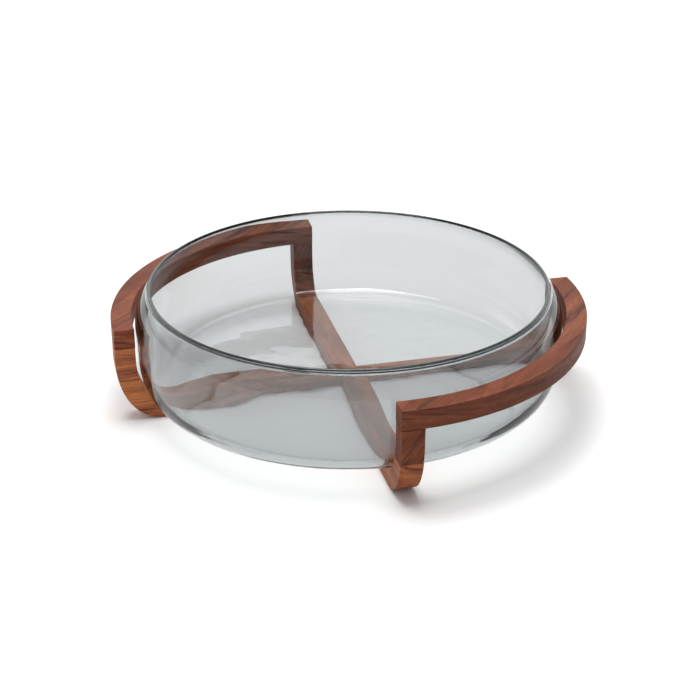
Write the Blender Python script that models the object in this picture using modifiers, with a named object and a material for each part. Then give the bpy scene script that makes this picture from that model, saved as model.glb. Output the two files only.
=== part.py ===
"""Glass serving bowl resting in a wooden cradle that has two curved handle rails.

The cradle is two beams, half-lapped where they cross, whose ends turn up. A leg block stands on each
beam end, and each handle rail joins the tops of two neighbouring legs, over a quarter of the circle.
Blind dowels locate every glued joint. The bowl is loose and lifts straight up.

Metres, +Z up. The origin is on the table under the centre of the bowl. -Y is the front leg.
"""

import math

import bmesh
import bpy
from mathutils import Matrix, Vector

# Cradle
CRADLE_RADIUS = 0.146  # outer faces of the legs and rails, half of the overall width
STOCK_DEPTH = 0.0125  # legs and rails, along the radius
STOCK_WIDTH = 0.0135  # beams and legs, across
BEAM_HEIGHT = 0.0115
RAIL_HEIGHT = 0.0121
RAIL_TOP = 0.0608
LEG_JOINT_Z = 0.0268  # glue plane between a beam end and its leg block
TURN_HEIGHT = 0.041  # above this the legs are vertical
TURN_DEPTH = 0.0276  # how far in from the outer face the upward turn starts
TURN_POWER = 2.1  # a little squarer than an ellipse
SEAT_RADIUS = 0.1196  # where the beam's flat top starts to turn up
EDGE_ROUND = 0.0006
ARC_STEP = math.radians(3)
TURN_STEPS = 12

# Joints
GLUE_GAP = 0.0003  # between faces that touch in the real object
DOWEL_RADIUS = 0.0025
DOWEL_LENGTH = 0.014
DOWEL_CHAMFER = 0.0005
LEG_DOWEL_RADIUS = 0.1365  # distance from the centre of the leg and beam dowels

# Bowl
BOWL_HEIGHT = 0.064
WALL = 0.0026
NECK = 0.0014  # the wall just under the rim
FLOOR = 0.0032
RIM_THICKNESS = 0.0024
FOOT_RADIUS = 0.115  # flat underside
BELLY_RADIUS = 0.1317
BELLY_Z = 0.047
RIM_RADIUS = 0.1232
CORNER_POWER = 2.8  # superellipse between the underside and the belly
SHOULDER_POWER = 2.9  # how late the wall leans in towards the rim
CORNER_STEPS = 9
SHOULDER_STEPS = 6
RIM_STEP = 30  # degrees
TURNS = 72

RAIL_UNDERSIDE = RAIL_TOP - RAIL_HEIGHT
RAIL_INNER_RADIUS = CRADLE_RADIUS - STOCK_DEPTH
BOWL_BASE_Z = BEAM_HEIGHT + GLUE_GAP
BOWL_TOP_Z = BOWL_BASE_Z + BOWL_HEIGHT
RIM_Z = BOWL_TOP_Z - RIM_THICKNESS / 2
# The leg at each azimuth, in degrees from +X.
LEG_AZIMUTHS = {"right": 0, "back": 90, "left": 180, "front": 270}


def clear_scene():
    for obj in list(bpy.data.objects):
        bpy.data.objects.remove(obj)


def make_collection(name):
    collection = bpy.data.collections.new(name)
    bpy.context.scene.collection.children.link(collection)
    return collection


def make_material(name, colour, roughness, alpha=1.0, transmission=0.0):
    material = bpy.data.materials.new(name)
    material.use_nodes = True
    shader = material.node_tree.nodes["Principled BSDF"]
    shader.inputs["Base Color"].default_value = (*colour, 1.0)
    shader.inputs["Roughness"].default_value = roughness
    shader.inputs["Metallic"].default_value = 0.0
    shader.inputs["Alpha"].default_value = alpha
    shader.inputs["Transmission Weight"].default_value = transmission
    return material


def link(obj, collection, material=None):
    collection.objects.link(obj)
    if material:
        obj.data.materials.append(material)
    return obj


def smooth(obj):
    obj.data.shade_smooth()
    obj.data.set_sharp_from_angle(angle=math.radians(30))


def outline_mesh(name, points, thickness, placement):
    """A flat outline given thickness, as a welded mesh. The outline is in its own XY plane."""
    curve = bpy.data.curves.new(name, "CURVE")
    curve.dimensions = "2D"
    curve.fill_mode = "BOTH"
    curve.extrude = thickness / 2
    spline = curve.splines.new("POLY")
    spline.points.add(len(points) - 1)
    for point, (x, y) in zip(spline.points, points):
        point.co = (x, y, 0, 1)
    spline.use_cyclic_u = True
    guide = bpy.data.objects.new(name + "_outline", curve)
    bpy.context.scene.collection.objects.link(guide)
    bpy.context.view_layer.update()
    graph = bpy.context.evaluated_depsgraph_get()
    mesh = bpy.data.meshes.new_from_object(guide.evaluated_get(graph))
    bpy.data.objects.remove(guide)
    mesh.name = name
    mesh.transform(placement)
    shape = bmesh.new()
    shape.from_mesh(mesh)
    bmesh.ops.remove_doubles(shape, verts=shape.verts, dist=1e-5)
    bmesh.ops.recalc_face_normals(shape, faces=shape.faces)
    shape.to_mesh(mesh)
    shape.free()
    return mesh


def round_edges(obj, joint_heights):
    """Round the sharp edges, but leave those in a glue plane, where the pieces are sanded flush."""
    shape = bmesh.new()
    shape.from_mesh(obj.data)
    weight = shape.edges.layers.float.new("bevel_weight_edge")
    for edge in shape.edges:
        sharp = edge.calc_face_angle(0) > math.radians(30)
        heights = [vertex.co.z for vertex in edge.verts]
        in_joint = any(all(abs(z - joint) < 1e-5 for z in heights) for joint in joint_heights)
        edge[weight] = float(sharp and not in_joint)
    shape.to_mesh(obj.data)
    shape.free()
    bevel = obj.modifiers.new("Rounded edges", "BEVEL")
    bevel.limit_method = "WEIGHT"
    bevel.width = EDGE_ROUND
    bevel.segments = 2


def cut(obj, cutter):
    boolean = obj.modifiers.new("Cut " + cutter.name, "BOOLEAN")
    boolean.operation = "DIFFERENCE"
    boolean.solver = "EXACT"
    boolean.object = cutter


def cutter_object(name, mesh, cutters):
    cutter = bpy.data.objects.new(name, mesh)
    cutter.hide_render = True
    cutter.display_type = "WIRE"
    return link(cutter, cutters)


def cylinder_mesh(name, radius, length, chamfer=0.0):
    """An upright cylinder about the origin, with its end edges chamfered if asked."""
    shape = bmesh.new()
    bmesh.ops.create_cone(
        shape, cap_ends=True, segments=24, radius1=radius, radius2=radius, depth=length
    )
    if chamfer:
        rims = [edge for edge in shape.edges if edge.calc_face_angle(0) > math.radians(60)]
        bmesh.ops.bevel(shape, geom=rims, offset=chamfer, segments=1, affect="EDGES")
    mesh = bpy.data.meshes.new(name)
    shape.to_mesh(mesh)
    shape.free()
    return mesh


def box_mesh(name, size):
    shape = bmesh.new()
    bmesh.ops.create_cube(shape, size=1, matrix=Matrix.Diagonal((*size, 1)))
    mesh = bpy.data.meshes.new(name)
    shape.to_mesh(mesh)
    shape.free()
    return mesh


def outer_turn(z):
    """Distance from the centre to the outer face of a leg or beam end at height z."""
    below = max(0.0, 1 - z / TURN_HEIGHT)
    return CRADLE_RADIUS - TURN_DEPTH + TURN_DEPTH * (1 - below**TURN_POWER) ** (1 / TURN_POWER)


def inner_turn(z):
    """Distance from the centre to the inner face of a leg or beam end at height z."""
    below = max(0.0, (TURN_HEIGHT - z) / (TURN_HEIGHT - BEAM_HEIGHT))
    return SEAT_RADIUS + (RAIL_INNER_RADIUS - SEAT_RADIUS) * math.sqrt(max(0.0, 1 - below**2))


def turn_heights(low, high):
    """Heights from low to high, closer together near the bottom, where the turn is tightest."""
    return [low + (high - low) * (i / TURN_STEPS) ** 2 for i in range(TURN_STEPS + 1)]


def beam_outline():
    """Half outlines of the right end, then the same mirrored: a long flat U with short, curved ends."""
    top = LEG_JOINT_Z - GLUE_GAP / 2
    outer = [(outer_turn(z), z) for z in turn_heights(0.0, top)]
    inner = [(inner_turn(z), z) for z in reversed(turn_heights(BEAM_HEIGHT, top))]
    right = outer + inner
    left = [(-x, z) for x, z in reversed(right)]
    return right + left


def leg_outline():
    low = LEG_JOINT_Z + GLUE_GAP / 2
    high = RAIL_UNDERSIDE - GLUE_GAP
    heights = turn_heights(low, TURN_HEIGHT) + [high]
    outer = [(outer_turn(z), z) for z in heights]
    inner = [(inner_turn(z), z) for z in reversed(heights)]
    return outer + inner


def rail_outline():
    """A quarter ring from the +X leg back to the -Y leg, both ends flush with the legs' far sides."""
    half = STOCK_WIDTH / 2

    def arc(radius):
        past_leg = math.asin(half / radius)
        start, end = past_leg, -math.pi / 2 - past_leg
        count = round((start - end) / ARC_STEP)
        angles = [start + (end - start) * i / count for i in range(count + 1)]
        return [(radius * math.cos(a), radius * math.sin(a)) for a in angles]

    return arc(CRADLE_RADIUS) + list(reversed(arc(RAIL_INNER_RADIUS)))


def upright_placement(azimuth):
    """Stands an outline drawn in XY up in the vertical plane through the centre at this azimuth."""
    return Matrix.Rotation(math.radians(azimuth), 4, "Z") @ Matrix.Rotation(math.pi / 2, 4, "X")


def dowel_position(azimuth, radius, z):
    return Matrix.Rotation(math.radians(azimuth), 4, "Z") @ Vector((radius, 0, z))


def dowel_places():
    """Name, place and azimuth of every dowel: one in each rail joint and one in each beam joint."""
    places = {}
    middle = CRADLE_RADIUS - STOCK_DEPTH / 2
    rail_joint = RAIL_UNDERSIDE - GLUE_GAP / 2
    for side, azimuth in LEG_AZIMUTHS.items():
        places["rail_dowel_" + side] = dowel_position(azimuth, middle, rail_joint)
        places["leg_dowel_" + side] = dowel_position(azimuth, LEG_DOWEL_RADIUS, LEG_JOINT_Z)
    return places


def make_dowels(parts, cutters, wood):
    """Dowels at their places, and a hole cutter for each, by the dowel's name."""
    mesh = cylinder_mesh("dowel", DOWEL_RADIUS, DOWEL_LENGTH, DOWEL_CHAMFER)
    mesh.materials.append(wood)
    hole = cylinder_mesh("dowel_hole", DOWEL_RADIUS + GLUE_GAP, DOWEL_LENGTH + 2 * GLUE_GAP)
    holes = {}
    for name, place in dowel_places().items():
        dowel = link(bpy.data.objects.new(name, mesh), parts)
        dowel.location = place
        smooth(dowel)
        holes[name] = cutter_object(name + "_hole", hole, cutters)
        holes[name].location = place
    return holes


def make_beam(name, azimuth, notch_low, notch_high, ends, holes, parts, cutters, wood):
    """One beam of the cross. The half-lap notch takes away its middle from notch_low to notch_high."""
    placement = upright_placement(azimuth)
    mesh = outline_mesh(name, beam_outline(), STOCK_WIDTH, placement)
    beam = link(bpy.data.objects.new(name, mesh), parts, wood)
    round_edges(beam, [LEG_JOINT_Z - GLUE_GAP / 2])
    opening = STOCK_WIDTH + 2 * GLUE_GAP
    notch_mesh = box_mesh(name + "_notch", (opening, opening, notch_high - notch_low))
    notch = cutter_object(name + "_notch", notch_mesh, cutters)
    notch.location.z = (notch_low + notch_high) / 2
    cut(beam, notch)
    for side in ends:
        cut(beam, holes["leg_dowel_" + side])
    smooth(beam)


def make_cross(holes, parts, cutters, wood):
    lap = BEAM_HEIGHT / 2
    past = BEAM_HEIGHT / 2  # how far a notch cutter reaches out of the wood
    gap = GLUE_GAP / 2
    make_beam(
        "cross_beam_upper", 90, -past, lap + gap, ("front", "back"), holes, parts, cutters, wood
    )
    make_beam(
        "cross_beam_lower",
        0,
        lap - gap,
        BEAM_HEIGHT + past,
        ("left", "right"),
        holes,
        parts,
        cutters,
        wood,
    )


def make_legs(holes, parts, wood):
    joints = [LEG_JOINT_Z + GLUE_GAP / 2, RAIL_UNDERSIDE - GLUE_GAP]
    for side, azimuth in LEG_AZIMUTHS.items():
        name = "leg_" + side
        mesh = outline_mesh(name, leg_outline(), STOCK_WIDTH, upright_placement(azimuth))
        leg = link(bpy.data.objects.new(name, mesh), parts, wood)
        round_edges(leg, joints)
        cut(leg, holes["leg_dowel_" + side])
        cut(leg, holes["rail_dowel_" + side])
        smooth(leg)


def make_rails(holes, parts, wood):
    for name, turn, ends in (
        ("handle_rail_right", 0, ("front", "right")),
        ("handle_rail_left", 180, ("back", "left")),
    ):
        height = Matrix.Translation((0, 0, RAIL_TOP - RAIL_HEIGHT / 2))
        placement = height @ Matrix.Rotation(math.radians(turn), 4, "Z")
        mesh = outline_mesh(name, rail_outline(), RAIL_HEIGHT, placement)
        rail = link(bpy.data.objects.new(name, mesh), parts, wood)
        round_edges(rail, [])
        for side in ends:
            cut(rail, holes["rail_dowel_" + side])
        smooth(rail)


def wall_thickness(up):
    """Thickness of the wall, where up goes from 0 at the belly to 1 at the rim."""
    return WALL + (NECK - WALL) * up**2


def bowl_side(foot_radius, floor_z, thickness, top):
    """One face of the bowl's wall in the XZ plane, from the flat floor's edge to top, 1 at the rim.

    thickness(up) is how far the face lies inside the outer one.
    """
    points = []
    belly_radius = BELLY_RADIUS - thickness(0)
    for i in range(CORNER_STEPS + 1):
        angle = math.pi / 2 * i / CORNER_STEPS
        out = math.sin(angle) ** (2 / CORNER_POWER)
        up = 1 - math.cos(angle) ** (2 / CORNER_POWER)
        radius = foot_radius + (belly_radius - foot_radius) * out
        points.append((radius, floor_z + (BELLY_Z - floor_z) * up))
    for i in range(1, SHOULDER_STEPS + 1):
        up = top * i / SHOULDER_STEPS
        radius = BELLY_RADIUS - (BELLY_RADIUS - RIM_RADIUS) * up**SHOULDER_POWER
        points.append((radius - thickness(up), BELLY_Z + (RIM_Z - BELLY_Z) * up))
    return points


def bowl_profile():
    """Half section of the bowl: inner floor, inner wall, round bead at the rim, outer wall, underside."""
    bead = RIM_THICKNESS / 2
    below_bead = 1 - 0.8 * bead / (RIM_Z - BELLY_Z)
    inner = bowl_side(FOOT_RADIUS - FLOOR, BOWL_BASE_Z + FLOOR, wall_thickness, below_bead)
    outer = bowl_side(FOOT_RADIUS, BOWL_BASE_Z, lambda up: 0.0, 1.0)
    rim = []
    for degrees in range(270, 0, -RIM_STEP):
        angle = math.radians(degrees)
        rim.append((RIM_RADIUS - bead + bead * math.cos(angle), RIM_Z + bead * math.sin(angle)))
    middle_top = (0.0, BOWL_BASE_Z + FLOOR)
    middle_bottom = (0.0, BOWL_BASE_Z)
    return [middle_top] + inner + rim + list(reversed(outer)) + [middle_bottom]


def make_bowl(parts, glass):
    profile = bowl_profile()
    mesh = bpy.data.meshes.new("glass_bowl")
    mesh.from_pydata(
        [(x, 0, z) for x, z in profile],
        [(i, i + 1) for i in range(len(profile) - 1)],
        [],
    )
    bowl = link(bpy.data.objects.new("glass_bowl", mesh), parts, glass)
    screw = bowl.modifiers.new("Turn", "SCREW")
    screw.axis = "Z"
    screw.angle = math.tau
    screw.steps = TURNS
    screw.render_steps = TURNS
    screw.use_merge_vertices = True
    screw.merge_threshold = 0.00005
    screw.use_smooth_shade = True


def main():
    clear_scene()
    parts = make_collection("Glass bowl in wooden cradle")
    cutters = make_collection("Cutters")
    wood = make_material("oiled_red_wood", (0.33, 0.13, 0.07), 0.45)
    glass = make_material("clear_glass", (0.9, 0.95, 0.95), 0.02, alpha=0.35, transmission=1.0)
    holes = make_dowels(parts, cutters, wood)
    make_cross(holes, parts, cutters, wood)
    make_legs(holes, parts, wood)
    make_rails(holes, parts, wood)
    make_bowl(parts, glass)


main()
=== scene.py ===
"""The looks of the glass serving bowl in its wooden cradle: oiled red wood, clear blown glass, studio."""

import math

import bpy
from mathutils import Matrix, Vector, noise


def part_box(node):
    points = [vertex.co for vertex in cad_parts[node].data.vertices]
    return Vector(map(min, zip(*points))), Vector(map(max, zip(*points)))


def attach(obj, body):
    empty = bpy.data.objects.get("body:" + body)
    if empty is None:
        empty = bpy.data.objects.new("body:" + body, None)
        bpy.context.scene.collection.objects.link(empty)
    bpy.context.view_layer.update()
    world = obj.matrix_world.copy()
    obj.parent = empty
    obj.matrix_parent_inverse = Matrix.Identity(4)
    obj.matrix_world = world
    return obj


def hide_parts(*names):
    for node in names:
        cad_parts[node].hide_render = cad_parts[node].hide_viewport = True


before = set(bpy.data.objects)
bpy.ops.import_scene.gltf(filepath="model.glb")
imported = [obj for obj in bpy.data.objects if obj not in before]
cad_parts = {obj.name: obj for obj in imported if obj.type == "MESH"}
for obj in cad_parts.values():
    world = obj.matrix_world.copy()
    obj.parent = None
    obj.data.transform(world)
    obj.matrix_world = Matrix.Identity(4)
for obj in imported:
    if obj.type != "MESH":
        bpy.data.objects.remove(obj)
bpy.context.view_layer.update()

# Camera. The lens and framing are those of a picture 700 pixels square.
CAMERA_TARGET = Vector((0.0007, -0.0002, 0.0286))
CAMERA_TURN = math.radians(-13.97)  # about Z, from looking along +Y
CAMERA_ELEVATION = math.radians(25.72)
CAMERA_DISTANCE = 0.98
CAMERA_LENS = 80.4

# Blown glass
WALL = 0.0026
NECK = 0.0014  # the wall just under the rim
FLOOR = 0.0032
RIM_THICKNESS = 0.0024
FOOT_RADIUS = 0.115
BELLY_RADIUS = 0.1317
BELLY_Z = 0.047
RIM_RADIUS = 0.1232
CORNER_POWER = 2.8
SHOULDER_POWER = 2.9
BOWL_TURNS = 240
FLOOR_RING = 0.0032  # spacing of the mesh rings across the flat floor
RIPPLE = 0.0001  # unevenness of the floor, up and down
RIPPLE_LENGTH = 0.009
WAVE = 0.00012  # unevenness of the wall, in and out
WAVE_LENGTH = 0.03
GLASS_COLOUR = (0.68, 0.694, 0.703)
RIM_PAINTED_SHADE = (0.008, 0.012, 0.012)  # painted shade: a near-black colour on the top of the rim, where clear glass seen edge on looks dark
RIM_PAINTED_SHADE_FROM, RIM_PAINTED_SHADE_TO = 0.5, 0.4  # depths below the top, in rim thicknesses, between which the painted shade sets in
GLASS_TINT = (0.75, 0.78, 0.778, 1.0)
GLASS_DENSITY = 120.0
SHADOW_TINT = (0.99, 0.99, 0.99, 1.0)  # what one face of the glass passes of a lamp's light

# Studio. The backdrop is a bright part of the sky behind the object, between two heights.
KEY_POSITION = (-0.1, 0.3, 2.8)
KEY_SIZE = 1.5
KEY_POWER = 60
AMBIENT = 0.38
BACKDROP = 1.3
FLOOR_ALBEDO = (0.96, 0.96, 0.96, 1)
FLOOR_HALF_WIDTH = 6.0
FLOOR_DROP = 0.0002  # keeps the floor from lying in the plane of the beams' undersides


# ---------------------------------------------------------------- node helpers


def new_material(name):
    material = bpy.data.materials.new(name)
    material.use_nodes = True
    tree = material.node_tree
    return material, tree, tree.nodes["Principled BSDF"]


def add_node(tree, kind, values=None, **settings):
    node = tree.nodes.new(kind)
    for key, value in settings.items():
        setattr(node, key, value)
    for key, value in (values or {}).items():
        node.inputs[key].default_value = value
    return node


def math_node(tree, operation, first, second=None, clamp=False):
    node = add_node(tree, "ShaderNodeMath", operation=operation, use_clamp=clamp)
    for index, value in enumerate((first, second)):
        if value is None:
            continue
        if isinstance(value, (int, float)):
            node.inputs[index].default_value = value
        else:
            tree.links.new(value, node.inputs[index])
    return node.outputs[0]


def map_range(tree, value, low, high, to_low=0.0, to_high=1.0, smooth=False):
    node = add_node(tree, "ShaderNodeMapRange", clamp=True)
    node.interpolation_type = "SMOOTHSTEP" if smooth else "LINEAR"
    tree.links.new(value, node.inputs["Value"])
    node.inputs["From Min"].default_value = low
    node.inputs["From Max"].default_value = high
    node.inputs["To Min"].default_value = to_low
    node.inputs["To Max"].default_value = to_high
    return node.outputs[0]


def mix_colour(tree, factor, first, second, blend="MIX"):
    node = add_node(tree, "ShaderNodeMix", data_type="RGBA", blend_type=blend)
    for socket, value in ((node.inputs[0], factor), (node.inputs[6], first), (node.inputs[7], second)):
        if isinstance(value, (int, float)):
            socket.default_value = value
        elif isinstance(value, tuple):
            socket.default_value = (*value, 1.0)
        else:
            tree.links.new(value, socket)
    return node.outputs[2]


def stretched_noise(tree, coords, size, detail=2.0, distortion=0.0, offset=0.0):
    """Noise whose features measure size, in metres, along each of the three axes."""
    mapping = add_node(tree, "ShaderNodeMapping")
    mapping.inputs["Scale"].default_value = [1 / length for length in size]
    mapping.inputs["Location"].default_value = (offset, offset * 0.7, offset * 1.3)
    tree.links.new(coords, mapping.inputs["Vector"])
    node = add_node(
        tree,
        "ShaderNodeTexNoise",
        {"Scale": 1.0, "Detail": detail, "Roughness": 0.55, "Distortion": distortion},
    )
    tree.links.new(mapping.outputs[0], node.inputs["Vector"])
    return node.outputs["Fac"]


# ---------------------------------------------------------------- wood

WOOD_DARK = (0.045, 0.01, 0.005)
WOOD_MID = (0.165, 0.04, 0.016)
WOOD_LIGHT = (0.27, 0.077, 0.034)
WOOD_ORANGE = (0.5, 0.165, 0.058)
PORE = (0.03, 0.009, 0.005)


def blend(first, second, share):
    return tuple(a + (b - a) * share for a, b in zip(first, second))


def wood_material(
    name, fibre, layers, seed, tone=0.0, side=1.0, sheet=0.02, line=0.0016, line_strength=0.75
):
    """Oiled red hardwood. fibre is the direction of the grain and layers the normal of its growth layers.

    sheet is how wide a growth line is within its layer, line how thick. tone above 0 is lighter and more
    orange. side is painted light and shade: it scales the brightness of upright faces beside level ones.
    """
    material, tree, shader = new_material(name)
    source = add_node(tree, "ShaderNodeTexCoord")
    turn = add_node(tree, "ShaderNodeMapping", vector_type="POINT")
    along = Vector(fibre).normalized()
    across = Vector(layers).cross(along).normalized()
    turn.inputs["Rotation"].default_value = Matrix((along, across, along.cross(across))).to_euler()
    turn.inputs["Location"].default_value = (seed * 0.37, seed * 0.53, seed * 0.71)
    tree.links.new(source.outputs["Object"], turn.inputs["Vector"])
    coords = turn.outputs[0]

    broad = stretched_noise(tree, coords, (0.1, 0.025, 0.006), detail=2, distortion=0.5)
    lines = stretched_noise(tree, coords, (0.09, sheet, line), detail=3, distortion=0.5, offset=3.1)
    thin_lines = stretched_noise(tree, coords, (0.05, sheet / 2, line / 3), detail=2, offset=5.3)
    fibres = stretched_noise(tree, coords, (0.02, 0.0007, 0.0006), detail=2, offset=7.7)
    pores = stretched_noise(tree, coords, (0.006, 0.0005, 0.0004), detail=0, offset=11.3)

    body = map_range(tree, broad, 0.35, 0.65, smooth=True)
    colour = mix_colour(
        tree, body, blend(WOOD_MID, WOOD_LIGHT, tone), blend(WOOD_LIGHT, WOOD_ORANGE, tone)
    )
    warm = map_range(tree, lines, 0.55, 0.72, 0.0, 0.3)
    colour = mix_colour(tree, warm, colour, WOOD_ORANGE)
    dark_line = map_range(tree, lines, 0.44, 0.33, 0.0, line_strength, smooth=True)
    colour = mix_colour(tree, dark_line, colour, WOOD_DARK)
    thin_line = map_range(tree, thin_lines, 0.42, 0.3, 0.0, line_strength * 0.6, smooth=True)
    colour = mix_colour(tree, thin_line, colour, WOOD_DARK)
    # painted light and shade: upright faces are scaled by side, level faces stay as they are
    facing = add_node(tree, "ShaderNodeSeparateXYZ")
    tree.links.new(source.outputs["Normal"], facing.inputs[0])
    level = math_node(tree, "ABSOLUTE", facing.outputs["Z"])
    painted_face_shading = map_range(tree, level, 0.3, 0.8, side, 1.0, smooth=True)
    fibre_and_painted_face_shading = math_node(tree, "MULTIPLY", map_range(tree, fibres, 0.3, 0.7, 0.84, 1.14), painted_face_shading)
    fibre_and_painted_face_shading_colour = add_node(tree, "ShaderNodeCombineColor")
    for index in range(3):
        tree.links.new(fibre_and_painted_face_shading, fibre_and_painted_face_shading_colour.inputs[index])
    colour = mix_colour(tree, 1.0, colour, fibre_and_painted_face_shading_colour.outputs[0], blend="MULTIPLY")
    pore = map_range(tree, pores, 0.34, 0.25, 0.0, 0.55)
    colour = mix_colour(tree, pore, colour, PORE)
    tree.links.new(colour, shader.inputs["Base Color"])

    roughness = map_range(tree, fibres, 0.2, 0.8, 0.42, 0.58)
    roughness = math_node(tree, "ADD", roughness, math_node(tree, "MULTIPLY", pore, 0.2), clamp=True)
    tree.links.new(roughness, shader.inputs["Roughness"])
    height = math_node(tree, "SUBTRACT", math_node(tree, "MULTIPLY", fibres, 0.35), pore)
    bump = add_node(tree, "ShaderNodeBump", {"Strength": 0.3, "Distance": 0.0002})
    tree.links.new(height, bump.inputs["Height"])
    tree.links.new(bump.outputs[0], shader.inputs["Normal"])
    shader.inputs["Specular IOR Level"].default_value = 0.14
    return material


def dress(node, material):
    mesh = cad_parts[node].data
    mesh.materials.clear()
    mesh.materials.append(material)
    for polygon in mesh.polygons:
        polygon.material_index = 0


def dress_wood():
    chord = (1, 1, 0)
    board = (0.2, -0.12, 1)  # nearly level growth layers
    upright = {"sheet": 0.003, "line": 0.0024}
    # side paints shade and light onto upright faces: right rail and front leg darker, left rail lighter
    dress("handle_rail_right", wood_material("rail_right_wood", chord, board, 1.3, side=0.7))
    dress("handle_rail_left", wood_material("rail_left_wood", chord, board, 4.1, tone=-0.15, side=1.35))
    dress("cross_beam_upper", wood_material("beam_upper_wood", (0, 1, 0), board, 2.2, tone=0.55))
    dress("cross_beam_lower", wood_material("beam_lower_wood", (1, 0, 0), board, 6.4, tone=1.2))
    dress("leg_front", wood_material("leg_front_wood", (0.8, 0, 1), (0, 1, 0), 3.7, side=0.85, **upright))
    dress("leg_right", wood_material("leg_right_wood", (0, 0.5, 1), (1, 0, 0), 8.2, **upright))
    dress("leg_back", wood_material("leg_back_wood", (0.4, 0, 1), (0, 1, 0), 5.9, **upright))
    leg_left = wood_material("leg_left_wood", (1, 0, 0.04), (0, 0, 1), 7.5, tone=1.4, line_strength=0.55)
    dress("leg_left", leg_left)
    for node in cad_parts:
        if "dowel" in node:
            dress(node, wood_material(node + "_wood", (0, 0, 1), (0, 1, 0), 9.0, tone=0.6))


# ---------------------------------------------------------------- glass bowl


def glass_material(top):
    material, tree, shader = new_material("clear_glass")
    place = add_node(tree, "ShaderNodeTexCoord")
    axes = add_node(tree, "ShaderNodeSeparateXYZ")
    tree.links.new(place.outputs["Object"], axes.inputs[0])
    # painted shade: the top of the rim is coloured near black, where clear glass seen edge on looks dark
    painted_shade_from = top - RIM_PAINTED_SHADE_FROM * RIM_THICKNESS
    painted_shade_to = top - RIM_PAINTED_SHADE_TO * RIM_THICKNESS
    rim = map_range(tree, axes.outputs["Z"], painted_shade_from, painted_shade_to)
    tree.links.new(mix_colour(tree, rim, GLASS_COLOUR, RIM_PAINTED_SHADE), shader.inputs["Base Color"])
    shader.inputs["Roughness"].default_value = 0.0
    shader.inputs["IOR"].default_value = 1.5
    shader.inputs["Transmission Weight"].default_value = 1.0
    absorption = add_node(tree, "ShaderNodeVolumeAbsorption")
    absorption.inputs["Color"].default_value = GLASS_TINT
    absorption.inputs["Density"].default_value = GLASS_DENSITY
    output = tree.nodes["Material Output"]
    tree.links.new(absorption.outputs[0], output.inputs["Volume"])
    path = add_node(tree, "ShaderNodeLightPath")
    clear = add_node(tree, "ShaderNodeBsdfTransparent", {"Color": SHADOW_TINT})
    surface = shader.outputs[0]
    for light in ("Is Diffuse Ray", "Is Shadow Ray"):
        mix = add_node(tree, "ShaderNodeMixShader")
        tree.links.new(path.outputs[light], mix.inputs[0])
        tree.links.new(surface, mix.inputs[1])
        tree.links.new(clear.outputs[0], mix.inputs[2])
        surface = mix.outputs[0]
    tree.links.new(surface, output.inputs["Surface"])
    return material


def wall_thickness(up):
    """Thickness of the wall, where up goes from 0 at the belly to 1 at the rim."""
    return WALL + (NECK - WALL) * up**2


def bowl_side(foot_radius, floor_z, rim_z, thickness, top, corner_steps=20, shoulder_steps=16):
    """One face of the wall as (radius, height), from the flat floor's edge to top, 1 at the rim.

    thickness(up) is how far the face lies inside the outer one.
    """
    points = []
    belly_radius = BELLY_RADIUS - thickness(0)
    for i in range(corner_steps + 1):
        angle = math.pi / 2 * i / corner_steps
        out = math.sin(angle) ** (2 / CORNER_POWER)
        up = 1 - math.cos(angle) ** (2 / CORNER_POWER)
        radius = foot_radius + (belly_radius - foot_radius) * out
        points.append((radius, floor_z + (BELLY_Z - floor_z) * up))
    for i in range(1, shoulder_steps + 1):
        up = top * i / shoulder_steps
        radius = BELLY_RADIUS - (BELLY_RADIUS - RIM_RADIUS) * up**SHOULDER_POWER
        points.append((radius - thickness(up), BELLY_Z + (rim_z - BELLY_Z) * up))
    return points


def bowl_profile(base_z, top_z):
    """The inner face, then the rim and the outer face, each a list of (radius, height)."""
    bead = RIM_THICKNESS / 2
    rim_z = top_z - bead
    below_bead = 1 - 0.8 * bead / (rim_z - BELLY_Z)
    inner = bowl_side(FOOT_RADIUS - FLOOR, base_z + FLOOR, rim_z, wall_thickness, below_bead)
    outer = bowl_side(FOOT_RADIUS, base_z, rim_z, lambda up: 0.0, 1.0)
    rim = []
    for degrees in range(285, 0, -15):
        angle = math.radians(degrees)
        rim.append((RIM_RADIUS - bead + bead * math.cos(angle), rim_z + bead * math.sin(angle)))

    def floor_rings(edge, z):
        count = round(edge / FLOOR_RING)
        return [(edge * i / count, z) for i in range(1, count)]

    floor_top = floor_rings(FOOT_RADIUS - FLOOR, base_z + FLOOR)
    floor_under = floor_rings(FOOT_RADIUS, base_z)
    return floor_top + inner, rim + list(reversed(outer)) + list(reversed(floor_under))


def uneven(point, top, side):
    """Moves a point as in blown glass, less and less towards the rim. side keeps the two faces apart."""
    fade = min(1.0, (top - point.z) / (8 * RIM_THICKNESS))
    apart = Vector((0, 0, 7 * side))
    out = Vector((point.x, point.y, 0)).normalized()
    wave = WAVE * noise.noise(point / WAVE_LENGTH + apart) * out
    ripple = Vector((0, 0, RIPPLE * noise.noise(point / RIPPLE_LENGTH + apart)))
    return point + fade * (wave + ripple)


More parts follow.
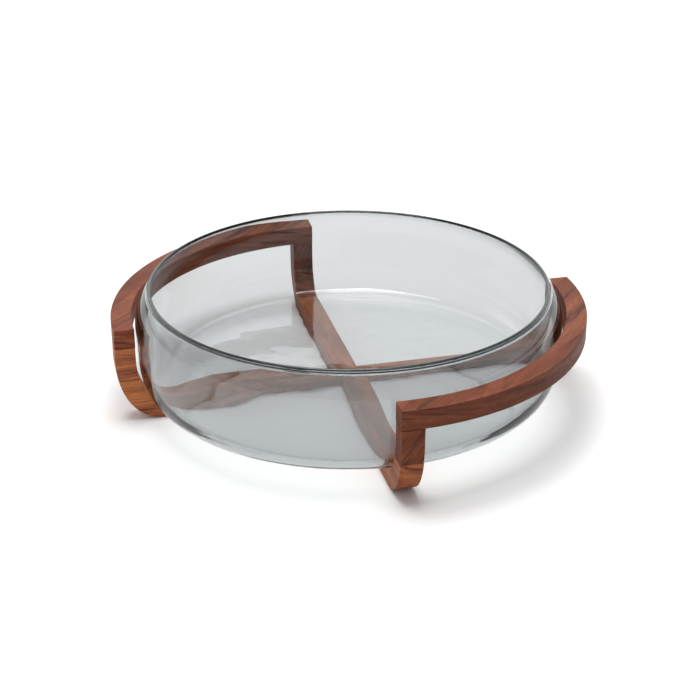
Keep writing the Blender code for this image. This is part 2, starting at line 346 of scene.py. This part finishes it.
def make_bowl():
    low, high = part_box("glass_bowl")
    inner, outer = bowl_profile(low.z, high.z)
    profile = inner + outer
    vertices = []
    faces = []
    for ring, (radius, z) in enumerate(profile):
        for i in range(BOWL_TURNS):
            angle = math.tau * i / BOWL_TURNS
            point = Vector((radius * math.cos(angle), radius * math.sin(angle), z))
            vertices.append(uneven(point, high.z, ring < len(inner)))
    for ring in range(len(profile) - 1):
        start = ring * BOWL_TURNS
        for i in range(BOWL_TURNS):
            j = (i + 1) % BOWL_TURNS
            faces.append((start + i, start + BOWL_TURNS + i, start + BOWL_TURNS + j, start + j))
    last = (len(profile) - 1) * BOWL_TURNS
    vertices.append(Vector((0, 0, profile[0][1])))
    vertices.append(Vector((0, 0, profile[-1][1])))
    for i in range(BOWL_TURNS):
        j = (i + 1) % BOWL_TURNS
        faces.append((len(vertices) - 2, i, j))
        faces.append((len(vertices) - 1, last + j, last + i))
    mesh = bpy.data.meshes.new("glass_bowl_blown")
    mesh.from_pydata(vertices, [], faces)
    mesh.shade_smooth()
    mesh.materials.append(glass_material(high.z))
    bowl = bpy.data.objects.new("blown_glass_bowl", mesh)
    bpy.context.scene.collection.objects.link(bowl)
    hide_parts("glass_bowl")
    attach(bowl, "bowl")


# ---------------------------------------------------------------- studio


def make_camera():
    tilt = Matrix.Rotation(math.pi / 2 - CAMERA_ELEVATION, 4, "X")
    turn = Matrix.Rotation(CAMERA_TURN, 4, "Z")
    away = Matrix.Translation((0, 0, CAMERA_DISTANCE))
    data = bpy.data.cameras.new("Camera")
    data.lens = CAMERA_LENS
    data.sensor_width = 36
    camera = bpy.data.objects.new("Camera", data)
    camera.matrix_world = Matrix.Translation(CAMERA_TARGET) @ turn @ tilt @ away
    bpy.context.scene.collection.objects.link(camera)
    bpy.context.scene.camera = camera


def make_floor():
    material, tree, shader = new_material("pale_floor")
    shader.inputs["Base Color"].default_value = FLOOR_ALBEDO
    shader.inputs["Roughness"].default_value = 0.9
    shader.inputs["Specular IOR Level"].default_value = 0.0
    mesh = bpy.data.meshes.new("floor")
    half = FLOOR_HALF_WIDTH
    corners = [(-half, -half, 0), (half, -half, 0), (half, half, 0), (-half, half, 0)]
    mesh.from_pydata(corners, [], [(0, 1, 2, 3)])
    mesh.materials.append(material)
    floor = bpy.data.objects.new("floor", mesh)
    floor.location.z = -FLOOR_DROP
    bpy.context.scene.collection.objects.link(floor)


def make_studio():
    world = bpy.data.worlds.new("Studio")
    world.use_nodes = True
    tree = world.node_tree
    direction = add_node(tree, "ShaderNodeTexCoord")
    axes = add_node(tree, "ShaderNodeSeparateXYZ")
    tree.links.new(direction.outputs["Generated"], axes.inputs[0])
    behind = map_range(tree, axes.outputs["Y"], 0.1, 0.7, smooth=True)
    below = map_range(tree, axes.outputs["Z"], 0.75, 0.55, smooth=True)
    above = map_range(tree, axes.outputs["Z"], 0.05, 0.25, smooth=True)
    backdrop = math_node(tree, "MULTIPLY", behind, math_node(tree, "MULTIPLY", below, above))
    strength = math_node(tree, "MULTIPLY_ADD", backdrop, BACKDROP)
    strength.node.inputs[2].default_value = AMBIENT
    background = tree.nodes["Background"]
    background.inputs["Color"].default_value = (1, 1, 1, 1)
    tree.links.new(strength, background.inputs["Strength"])
    bpy.context.scene.world = world
    lamp = bpy.data.lights.new("Key", "AREA")
    lamp.shape = "SQUARE"
    lamp.size = KEY_SIZE
    lamp.energy = KEY_POWER
    key = bpy.data.objects.new("Key", lamp)
    key.location = KEY_POSITION
    key.rotation_euler = (-Vector(KEY_POSITION)).to_track_quat("-Z", "Y").to_euler()
    bpy.context.scene.collection.objects.link(key)
    bpy.context.scene.view_settings.view_transform = "Standard"
    bpy.context.scene.cycles.caustics_refractive = False
    bpy.context.scene.cycles.caustics_reflective = False


dress_wood()
make_bowl()
make_camera()
make_floor()
make_studio()
